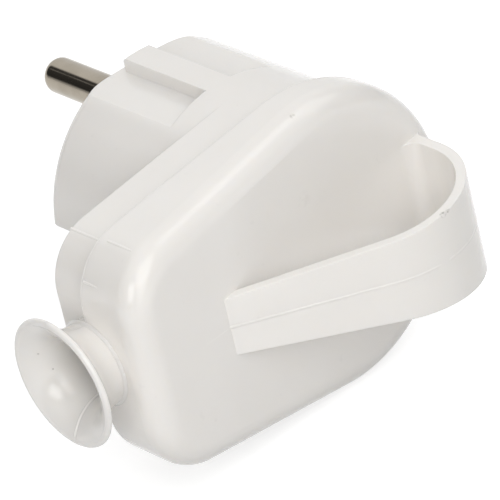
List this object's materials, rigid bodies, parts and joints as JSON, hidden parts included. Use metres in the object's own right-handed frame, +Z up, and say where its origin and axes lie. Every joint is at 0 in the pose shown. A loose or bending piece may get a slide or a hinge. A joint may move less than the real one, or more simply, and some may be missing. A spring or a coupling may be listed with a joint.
{
  "type": "angled plug",
  "caption": "rewirable mains plug with round pins and side earth contacts, a right-angled body, a bell-mouthed cord entry and a moulded pull handle on its back",
  "frame": {"origin": "centre of the engagement face, midway between the two contact pins", "axes": "+Y along the pins into the socket outlet, +X toward the round head and away from the cord entry, +Z up through both pins as the plug lies on its side"},
  "size_m": [0.0603, 0.0693, 0.0396],
  "materials": {
    "shell_plastic": "moulded, soft gloss",
    "cap_plastic": "moulded, soft gloss",
    "clamp_plastic": "moulded",
    "pin_metal": "nickel plated, polished",
    "earth_metal": "nickel plated strip",
    "screw_metal": "zinc plated"
  },
  "bodies": {
    "root": {"front_shell": "shell_plastic", "rear_shell": "cap_plastic", "contact_pin_upper": "pin_metal", "contact_pin_lower": "pin_metal", "terminal_screw_upper": "screw_metal", "terminal_screw_lower": "screw_metal", "earth_strap": "earth_metal", "earth_screw": "screw_metal", "earth_washer": "screw_metal", "cord_clamp": "clamp_plastic", "clamp_screw_upper": "screw_metal", "clamp_screw_lower": "screw_metal", "housing_screw": "screw_metal", "housing_nut": "screw_metal"}
  },
  "joints": []
}
